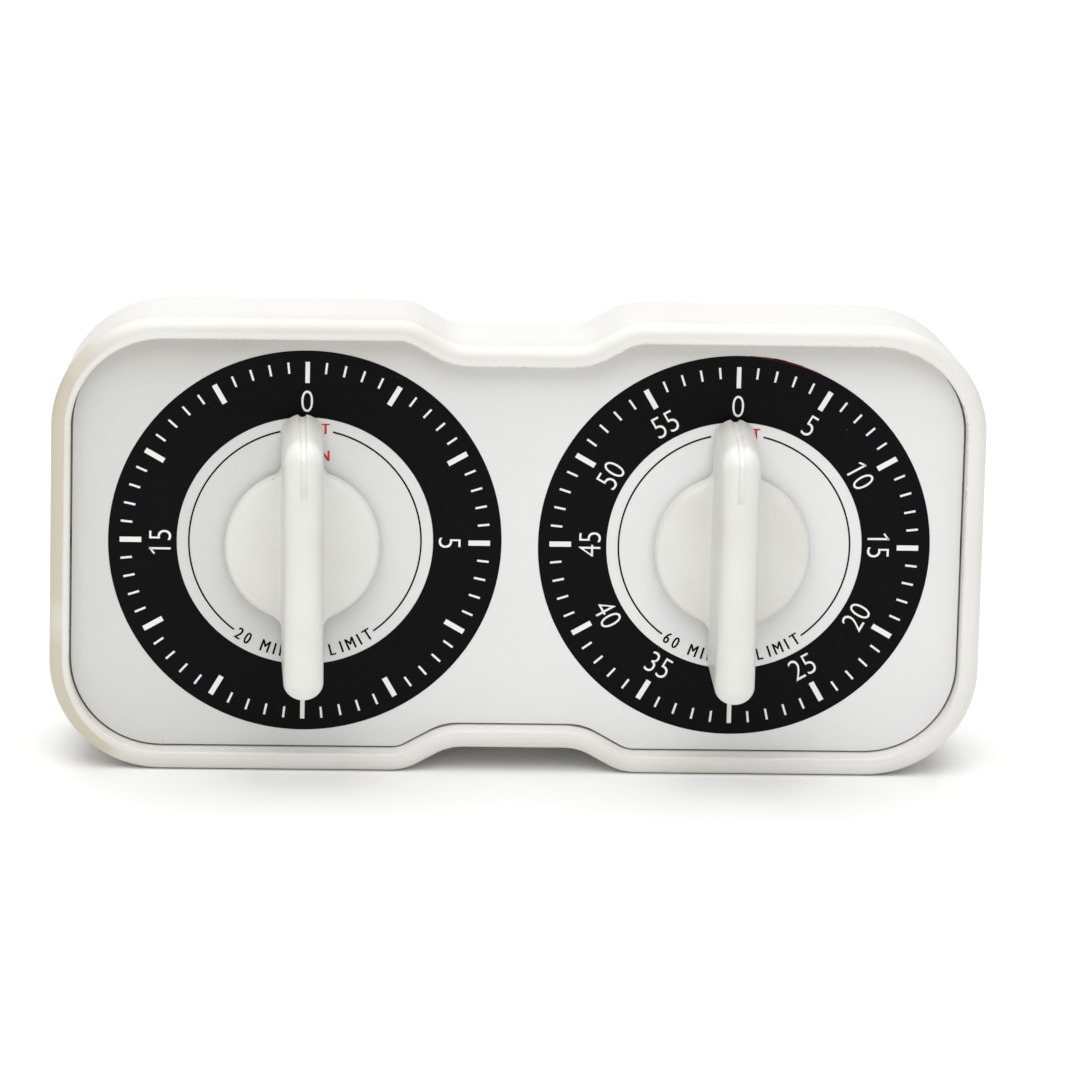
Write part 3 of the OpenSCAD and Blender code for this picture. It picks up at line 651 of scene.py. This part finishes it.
def glyph(text, height, weight, squeeze):
    """A flat solid letter or numeral, centred; weight thickens or thins its strokes.

    A one gets the small flag that the font leaves out.
    """
    curve = bpy.data.curves.new("glyph", "FONT")
    curve.body = text
    curve.offset = weight
    curve.extrude = 0.5
    curve.resolution_u = 6
    obj = bpy.data.objects.new("glyph", curve)
    bpy.context.scene.collection.objects.link(obj)
    graph = bpy.context.evaluated_depsgraph_get()
    mesh = bpy.data.meshes.new_from_object(obj.evaluated_get(graph))
    bpy.data.objects.remove(obj)
    xs, ys = ([v.co[k] for v in mesh.vertices] for k in (0, 1))
    size = height / (max(ys) - min(ys))
    if text.startswith("1"):
        flag = bmesh.new()
        flag.from_mesh(mesh)
        tip = Vector((min(xs) + 0.04, max(ys) - 0.03))
        bar(flag, tip, tip - Vector((0.2, 0.13)), 0.028, -0.5, 0.5)
        flag.to_mesh(mesh)
        flag.free()
    centre = Vector(((max(xs) + min(xs)) / 2, (max(ys) + min(ys)) / 2, 0))
    mesh.transform(Matrix.Diagonal((size * squeeze, size, 1, 1)) @ Matrix.Translation(-centre))
    return mesh


def stamp(bm, mesh, at, turn, level, thick):
    """Adds a glyph at a place, turned clockwise, with its face at a level."""
    place_at = Matrix.Translation((at[0], at[1], level - thick / 2)) @ Matrix.Rotation(-turn, 4, "Z")
    copy = mesh.copy()
    copy.transform(place_at @ Matrix.Diagonal((1, 1, thick, 1)))
    bm.from_mesh(copy)
    bpy.data.meshes.remove(copy)


def strike(bm, text, height, squeeze, at, turn, level, thick, bold=0.0):
    """Stamps a small letter; a bold one is struck three times, side by side."""
    mesh = glyph(text, height, 0.0, squeeze)
    shifts = (-bold, 0.0, bold) if bold else (0.0,)
    for i, shift in enumerate(shifts):
        beside = (at[0] + shift * math.cos(turn), at[1] - shift * math.sin(turn))
        stamp(bm, mesh, beside, turn, level + 0.002 * MM * i, thick)
    bpy.data.meshes.remove(mesh)


def around(centre, radius, turn):
    """The point at a radius, clockwise from the top."""
    return (centre[0] + radius * math.sin(turn), centre[1] + radius * math.cos(turn))


class KITCHENTIMER_OT_dials(bpy.types.Operator):
    """Prints both dials on the face plate: rings, ticks, numerals, thin circles and small letters"""

    bl_idname = "kitchen_timer.dials"
    bl_label = "Dials"

    NUMERALS = {
        "left": {0: "0", 90: "5", 180: "10", 270: "15"},
        "right": {30 * i: str(5 * i) for i in range(12)},
    }
    UPSIDE = range(110, 250)
    CAPTIONS = {"left": "20 MINUTE LIMIT", "right": "60 MINUTE LIMIT"}
    CAPTION_SWEEP, CAPTION_SQUEEZE = math.radians(67.2), 0.74
    TOP_GAP, CAPTION_GAP = math.radians(13), math.radians(37)
    NUMERAL_WEIGHT, NUMERAL_SQUEEZE = -0.012, 0.86
    WORDS = (("SET", 20.7 * MM), ("MIN", 15.75 * MM))
    WORD_PITCH, WORD_H, WORD_SQUEEZE = 3.34 * MM, 1.9 * MM, 0.8
    # The fringe's start and sweep in degrees, and half its width
    BLEED = ((3, 22, 0.07 * MM), (7, 12, 0.13 * MM), (10, 4, 0.17 * MM))

    def execute(self, context):
        s = context.scene.timer_face
        frame["nodes"]["face_plate"].data.materials.clear()
        frame["nodes"]["face_plate"].data.materials.append(face_abs(s))
        black = screen_ink("screen_ink_black", s.black, srgb("#57565A"))
        white = screen_ink("screen_ink_white", s.white, srgb("#B9B7B0"))
        red = screen_ink("screen_ink_red", s.red, srgb("#E8A090"))
        for side in SIDES:
            at = (DIAL_AT[side].x + s.register_x, DIAL_AT[side].z + s.register_y)
            self.print_black(s, side, at, black)
            self.print_white(s, side, at, white)
            self.print_red(s, side, at, red)
        self.print_bleed(s, at)
        return {"FINISHED"}

    def print_black(self, s, side, at, ink):
        """The ring, the thin circle that is broken at the top and for the caption, and the caption."""
        bm = bmesh.new()
        ring_mid, ring_half = (s.ring + s.ring_inner) / 2, (s.ring - s.ring_inner) / 2
        arc_band(bm, ring_mid, ring_half, 0, FULL_TURN, -s.ink, s.ink)
        for mirror in (1, -1):
            start, sweep = mirror * self.TOP_GAP, mirror * (math.pi - self.TOP_GAP - self.CAPTION_GAP)
            arc_band(bm, s.hairline_r, s.hairline / 2, start, sweep, -s.ink, s.ink)
        caption = self.CAPTIONS[side]
        pitch = self.CAPTION_SWEEP / (len(caption) - 1)
        for i, letter in enumerate(caption):
            if letter == " ":
                continue
            turn = math.pi + pitch * ((len(caption) - 1) / 2 - i)
            at_letter = around((0, 0), s.hairline_r, turn)
            style = (s.caption_h, self.CAPTION_SQUEEZE)
            strike(bm, letter, *style, at_letter, turn - math.pi, s.ink, 2 * s.ink, bold=s.bold)
        self.finish(bm, side + "_dial_black", at, ink)

    def print_white(self, s, side, at, ink):
        """The ticks and numerals, on top of the ring's ink."""
        bm = bmesh.new()
        low, high = 0.5 * s.ink, 2 * s.ink
        for minute in range(60):
            turn = FULL_TURN * minute / 60
            long = minute % 5 == 0
            start, half = (s.tick_long, s.thick / 2) if long else (s.tick_short, s.thin / 2)
            if minute in (0, 30):
                half = s.middle / 2
            bar(bm, around((0, 0), start, turn), around((0, 0), s.tick_out, turn), half, low, high)
        for degrees, text in self.NUMERALS[side].items():
            turn = math.radians(degrees)
            flip = math.pi if degrees in self.UPSIDE else 0
            mesh = glyph(text, s.numeral_h, self.NUMERAL_WEIGHT, self.NUMERAL_SQUEEZE)
            stamp(bm, mesh, around((0, 0), s.numeral_r, turn), turn + flip, high, high - low)
            bpy.data.meshes.remove(mesh)
        self.finish(bm, side + "_dial_white", at, ink)

    def print_red(self, s, side, at, ink):
        """The two small words at zero, mostly under the knob."""
        bm = bmesh.new()
        for word, y in self.WORDS:
            for i, letter in enumerate(word):
                place_of = ((i - 1) * self.WORD_PITCH, y)
                style = (self.WORD_H, self.WORD_SQUEEZE)
                strike(bm, letter, *style, place_of, 0, s.ink, 2 * s.ink, bold=1.5 * s.bold)
        self.finish(bm, side + "_dial_red", at, ink)

    def print_bleed(self, s, at):
        """A thin rusty fringe where the red ink has crept out along the right ring's top edge."""
        bm = bmesh.new()
        for start, sweep, half in self.BLEED:
            arc_band(bm, s.ring, half, math.radians(start), math.radians(sweep), -s.ink, 1.3 * s.ink)
        rusty = screen_ink("screen_ink_rusty", srgb("#8A3A22"), srgb("#5A2A1C"))
        self.finish(bm, "right_dial_bleed", at, rusty)

    def finish(self, bm, name, at, ink):
        """Moves the print to its dial and lays it on the face plate."""
        bmesh.ops.translate(bm, verts=bm.verts, vec=(at[0], at[1], 0))
        piece_from(bm, name, "case", "face_plastic", ink)


# ---------- knobs ----------


def edge_radius(s, part):
    """Rounding of the disc's edge, which fades out where the disc runs into the grip."""
    return s.disc_round * part**2.5


def foot_radius(s, part):
    """Rounding at the grip's foot, which fades out even sooner."""
    return s.foot * part**4


def knob_plan(s):
    """Points of the knob's plan as (base point, base normal, grip point, grip normal, share).

    The base is the outline of the whole knob at the disc, and share is 1 on the disc and 0 on the grip.
    """
    grip_r = KNOB_GRIP_W / 2
    reach = KNOB_GRIP_L / 2 - grip_r
    web_y = math.sqrt((s.disc_r + s.web) ** 2 - (grip_r + s.web) ** 2)
    web_at = Vector((grip_r + s.web, web_y))
    web_turn = math.atan2(web_y, web_at.x)
    quarter_plan = []
    disc_steps, web_steps, side_steps, end_steps = 22, 10, 6, 12
    for i in range(disc_steps + 1):
        a = web_turn * i / disc_steps
        normal = Vector((math.cos(a), math.sin(a)))
        beside = Vector((grip_r, (s.disc_r - edge_radius(s, 1.0)) * normal.y))
        quarter_plan.append((normal * s.disc_r, normal, beside, Vector((1, 0)), 1.0))
    for i in range(1, web_steps + 1):
        a = math.pi + web_turn * (1 - i / web_steps)
        out = Vector((math.cos(a), math.sin(a)))
        part = 1 - i / web_steps
        on_web = web_at + out * s.web
        beside = Vector((grip_r, on_web.y + out.y * edge_radius(s, part)))
        quarter_plan.append((on_web, -out, beside, Vector((1, 0)), part))
    for i in range(1, side_steps + 1):
        y = web_y + (reach - web_y) * i / side_steps
        beside = Vector((grip_r, y))
        quarter_plan.append((beside, Vector((1, 0)), beside, Vector((1, 0)), 0.0))
    for i in range(1, end_steps + 1):
        a = math.radians(90) * i / end_steps
        normal = Vector((math.cos(a), math.sin(a)))
        on_end = Vector((0, reach)) + normal * grip_r
        quarter_plan.append((on_end, normal, on_end, normal, 0.0))
    return mirrored_plan(quarter_plan)


def mirrored_plan(first):
    """Completes a plan that is drawn from the x axis to the y axis, in all four quarters."""

    def flipped(entry, kx, ky):
        return tuple(Vector((v.x * kx, v.y * ky)) if isinstance(v, Vector) else v for v in entry)

    plan = list(first)
    plan += [flipped(e, -1, 1) for e in reversed(first[:-1])]
    plan += [flipped(e, -1, -1) for e in first[1:]]
    plan += [flipped(e, 1, -1) for e in reversed(first[1:-1])]
    return plan


def knob_loops(s):
    """The knob's surface as loops, from its underside, over the disc's edge and up the grip."""
    plan = knob_plan(s)
    top = PLATE_Y - KNOB_LOW.y
    gap = PLATE_Y - KNOB_HIGH.y
    crown_r = KNOB_GRIP_W / 2 - s.draft
    hold = 0.25 * MM

    def base(inset, level):
        return [((b.x - n.x * inset(t)), (b.y - n.y * inset(t)), level(t)) for b, n, _, _, t in plan]

    def grip(outset, level):
        return [((g.x + n.x * outset(t)), (g.y + n.y * outset(t)), level(t)) for _, _, g, n, t in plan]

    def edge(t):
        return edge_radius(s, t)

    def foot(t):
        return foot_radius(s, t)

    loops = [base(lambda t: 0.3 * MM, lambda t: gap), base(lambda t: 0, lambda t: gap + 0.3 * MM)]
    for out, up in quarter(1, 6):
        loops.append(base(lambda t: edge(t) * (1 - up), lambda t: s.disc_h - edge(t) * (1 - out)))
    for out, up in quarter(1, 5):
        loops.append(grip(lambda t: foot(t) * (1 - out), lambda t: s.disc_h + foot(t) * (1 - up)))
    loops.append(grip(lambda t: 0, lambda t: s.disc_h + s.foot + hold))
    # The crown is rounded across, and domed higher towards the two ends
    for up, back in [(0, 1 + hold / crown_r)] + quarter(1, 12):
        loop = []
        for _, _, g, n, _ in plan:
            rise = crown_r + s.dome * abs(n.y)
            out = crown_r * (min(back, 1) - 1) - s.draft
            drop = rise * (1 - up) + (hold if back > 1 else 0)
            loop.append((g.x + n.x * out, g.y + n.y * out, top - drop))
        loops.append(loop)
    return loops


def groove_loops(s):
    """A round-bottomed cutter that follows the grip's crown from its pointed start, over the end and down."""
    top = PLATE_Y - KNOB_LOW.y
    reach = (KNOB_GRIP_L - KNOB_GRIP_W) / 2
    grip_r = KNOB_GRIP_W / 2 - s.draft
    over = 0.6 * MM
    rise = grip_r + s.dome
    start = s.groove_from
    # The groove widens from its point over the first millimetre
    point = ((0, 0.05), (0.25, 0.6), (0.6, 0.9), (1.1, 1))
    stations = [(start + ahead * MM, top, 0, size) for ahead, size in point]
    stations += [
        (reach + grip_r * math.sin(a), top - rise * (1 - math.cos(a)), a, 1.0)
        for a in (math.radians(7.5 * i) for i in range(13))
    ]
    stations += [(reach + grip_r, -1 * MM, math.radians(90), 1.0)]
    # Half of the section as (share of the half width, depth); it starts clear of the crown
    side = ((1.3, -over), (1.0, -0.05 * MM), (0.7, 0.5 * s.groove_deep), (0.35, 0.9 * s.groove_deep))
    section = side + tuple((-x, sunk) for x, sunk in reversed(side))
    loops = []
    for y, z, a, size in stations:
        out = Vector((0, math.sin(a) * rise, math.cos(a) * grip_r)).normalized()
        loop = []
        for x, sunk in section:
            at = Vector((0, y, z)) - out * (sunk if sunk < 0 else sunk * size)
            loop.append((x * s.groove_w / 2 * size, at.y, at.z))
        loops.append(loop)
    return loops


def cut(obj, cutter):
    """Takes a cutter's shape out of a drawn mesh, whose new faces keep the cutter's material."""
    modifier = obj.modifiers.new("cut", "BOOLEAN")
    modifier.operation = "DIFFERENCE"
    modifier.solver = "EXACT"
    modifier.material_mode = "TRANSFER"
    modifier.object = cutter
    bpy.context.view_layer.update()
    graph = bpy.context.evaluated_depsgraph_get()
    mesh = bpy.data.meshes.new_from_object(obj.evaluated_get(graph))
    for used in (obj, cutter):
        bpy.data.objects.remove(used)
    return mesh


def drawn(bm, name, material):
    """A bare object for a drawing that is about to be cut or used as a cutter."""
    bmesh.ops.recalc_face_normals(bm, faces=bm.faces)
    mesh = mesh_from(bm, name)
    mesh.materials.append(material)
    obj = bpy.data.objects.new(name, mesh)
    bpy.context.scene.collection.objects.link(obj)
    return obj


class KITCHENTIMER_OT_knobs(bpy.types.Operator):
    """Builds both knobs: a disc, a tall finger grip with soft roots, and the pointer groove"""

    bl_idname = "kitchen_timer.knobs"
    bl_label = "Knobs"

    BORE_R, BORE_TOP = 3.04 * MM, 13.5 * MM
    HUB_R, DISC_WALL, HOLLOW_DEEP = 5.5 * MM, 1.6 * MM, 1.6 * MM
    OVERCUT = 1 * MM

    def execute(self, context):
        s = context.scene.timer_knobs
        skin = knob_abs(s, "abs_moulded_handled", 0.18)
        soiled = knob_abs(s, "abs_moulded_soiled", 0.5)
        for side in SIDES:
            solid = bmesh.new()
            rows = loft(solid, knob_loops(s))
            solid.faces.new(rows[0])
            bmesh.ops.remove_doubles(solid, verts=solid.verts, dist=1e-6)
            cutters = bmesh.new()
            groove = loft(cutters, groove_loops(s))
            cutters.faces.new(groove[0])
            cutters.faces.new(groove[-1])
            self.underside(cutters, s)
            mesh = cut(drawn(solid, "knob_solid", skin), drawn(cutters, "knob_cutters", soiled))
            lean = s.left_lean if side == "left" else 0.0
            at = Matrix.Translation((DIAL_AT[side].x, DIAL_AT[side].z, 0))
            turn = at @ Matrix.Rotation(lean, 4, "Z")
            obj = place(mesh, side + "_timer_knob", side + "_knob_and_arbor", "knob_plastic", turn=turn)
            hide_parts(side + "_knob")
        return {"FINISHED"}

    def underside(self, bm, s):
        """The shaft's bore and the hollow around the hub."""
        gap = PLATE_Y - KNOB_HIGH.y
        start = gap - self.OVERCUT
        tube(bm, (0, 0), self.BORE_R, 0, start, self.BORE_TOP)
        tube(bm, (0, 0), s.disc_r - self.DISC_WALL, self.HUB_R, start, gap + self.HOLLOW_DEEP, steps=72)


# ---------- carried-over nodes ----------


class KITCHENTIMER_OT_movements(bpy.types.Operator):
    """Gives the back cover, the screws and both movements the finish of their real materials"""

    bl_idname = "kitchen_timer.movements"
    bl_label = "Cover, screws and movements"

    def execute(self, context):
        # Brass sheet and wheels: cut and brushed straight, so long fine lines
        brass = worked_metal("brass_cut", "#D9B45C", "#B98F3E", 0.25, (0.1, 1, 1), 0.4 * MM)
        plate = worked_metal("brass_rolled", "#D2AE5E", "#AE8A42", 0.32, (0.05, 1, 1), 0.6 * MM)
        # Steel turned on a lathe: rings across the arbors, which lie along y
        steel = worked_metal("steel_turned", "#C4C6C8", "#9A9C9F", 0.22, (0.2, 1, 0.2), 0.3 * MM)
        blued = worked_metal("spring_steel_blued", "#4E5F80", "#2E3646", 0.28, (1, 0.1, 1), 0.4 * MM)
        nickel = worked_metal("nickel_plated", "#D6D4CE", "#BEBBB2", 0.12, (1, 1, 1), 0.8 * MM)
        zinc = worked_metal("zinc_plated", "#CACCD0", "#A5A8AE", 0.35, (1, 1, 1), 0.5 * MM)
        finishes = {
            "cover_plastic": cover_abs(),
            "brass": brass,
            "plate_brass": plate,
            "steel": steel,
            "spring_steel": blued,
            "bell_plate": nickel,
            "zinc_screws": zinc,
        }
        slots = {p["node"]: p["material_slot"] for p in frame["record"]["subparts"]}
        for name, node in frame["nodes"].items():
            finish = finishes.get(slots[name])
            if finish is not None:
                node.data.materials.clear()
                node.data.materials.append(finish)
        return {"FINISHED"}


# ---------- stage ----------


class KITCHENTIMER_OT_stage(bpy.types.Operator):
    """Sets the pale floor, the soft light and the camera"""

    bl_idname = "kitchen_timer.stage"
    bl_label = "Stage"

    KEY_SIZE, KEY_AT, KEY_AIM = 1.0, Vector((-0.05, -0.5, 0.95)), Vector((0, 0, CASE_H / 2))
    BACK_SIZE, BACK_AT, BACK_AIM = 1.4, Vector((0, 0.65, 1.3)), Vector((0, 0.4, 0))
    FLOOR_HALF = 6.0

    def execute(self, context):
        s = context.scene.timer_stage
        self.floor(s)
        self.lights(context.scene, s)
        self.camera(context.scene, s)
        context.scene.view_settings.view_transform = "Standard"
        return {"FINISHED"}

    def floor(self, s):
        """A wide floor just under the case."""
        bm = bmesh.new()
        bmesh.ops.create_grid(bm, x_segments=8, y_segments=8, size=self.FLOOR_HALF)
        mesh = mesh_from(bm, "floor")
        mesh.materials.append(floor_paint(s.floor))
        floor = bpy.data.objects.new("floor", mesh)
        floor.location.z = CASE_LOW.z
        bpy.context.scene.collection.objects.link(floor)

    def lights(self, scene, s):
        """An even sky, a soft light above the face, and one over the floor behind."""
        world = bpy.data.worlds.new("studio")
        world.use_nodes = True
        background = world.node_tree.nodes["Background"]
        background.inputs["Color"].default_value = (1.0, 1.0, 1.0, 1.0)
        background.inputs["Strength"].default_value = s.sky
        scene.world = world
        self.panel(scene, "key", s.key, self.KEY_SIZE, self.KEY_AT, self.KEY_AIM)
        self.panel(scene, "back", s.back, self.BACK_SIZE, self.BACK_AT, self.BACK_AIM)

    def panel(self, scene, name, power, size, at, target):
        """A square soft light at a place, turned towards its target."""
        light = bpy.data.lights.new(name, "AREA")
        light.shape = "SQUARE"
        light.size = size
        light.energy = power
        panel = bpy.data.objects.new(name, light)
        panel.location = at
        panel.rotation_euler = (target - at).to_track_quat("-Z", "Y").to_euler()
        scene.collection.objects.link(panel)

    def camera(self, scene, s):
        """Looks down at the face from slightly left of it, through a long lens."""
        data = bpy.data.cameras.new("camera")
        data.sensor_width = 36.0
        data.lens = data.sensor_width * s.distance / s.across
        data.clip_end = 50.0
        camera = bpy.data.objects.new("camera", data)
        back = Vector(
            (
                -math.sin(s.azimuth) * math.cos(s.elevation),
                -math.cos(s.azimuth) * math.cos(s.elevation),
                math.sin(s.elevation),
            )
        )
        aim = Vector((s.aim_right, PLATE_Y, CASE_H / 2 + s.aim_up))
        look = (-back).to_track_quat("-Z", "Y").to_matrix().to_4x4()
        stand = Matrix.Translation(aim + back * s.distance)
        camera.matrix_world = stand @ look @ Matrix.Rotation(s.roll, 4, "Z")
        scene.collection.objects.link(camera)
        scene.camera = camera


class KITCHENTIMER_PT_panel(bpy.types.Panel):
    """Lists the timer's pieces, and the sizes and colours behind them"""

    bl_idname = "KITCHENTIMER_PT_panel"
    bl_label = "Kitchen timer"
    bl_space_type = "VIEW_3D"
    bl_region_type = "UI"
    bl_category = "Kitchen timer"

    def draw(self, context):
        for operator, settings in STEPS:
            box = self.layout.box()
            box.operator(operator.bl_idname)
            if settings:
                group = getattr(context.scene, settings)
                for name in group.__annotations__:
                    box.prop(group, name)


STEPS = (
    (KITCHENTIMER_OT_case, "timer_case"),
    (KITCHENTIMER_OT_dials, "timer_face"),
    (KITCHENTIMER_OT_knobs, "timer_knobs"),
    (KITCHENTIMER_OT_movements, None),
    (KITCHENTIMER_OT_stage, "timer_stage"),
)
SETTINGS = {
    "timer_case": CaseSettings,
    "timer_face": FaceSettings,
    "timer_knobs": KnobSettings,
    "timer_stage": StageSettings,
}


def register():
    for name, group in SETTINGS.items():
        bpy.utils.register_class(group)
        setattr(bpy.types.Scene, name, PointerProperty(type=group))
    for operator, _ in STEPS:
        bpy.utils.register_class(operator)
    bpy.utils.register_class(KITCHENTIMER_PT_panel)


def unregister():
    bpy.utils.unregister_class(KITCHENTIMER_PT_panel)
    for operator, _ in STEPS:
        bpy.utils.unregister_class(operator)
    for name, group in SETTINGS.items():
        delattr(bpy.types.Scene, name)
        bpy.utils.unregister_class(group)


def main():
    """Builds everything in order."""
    register()
    bpy.ops.kitchen_timer.case()
    bpy.ops.kitchen_timer.dials()
    bpy.ops.kitchen_timer.knobs()
    bpy.ops.kitchen_timer.movements()
    bpy.ops.kitchen_timer.stage()
    bpy.context.view_layer.update()


if __name__ == "__main__":
    main()
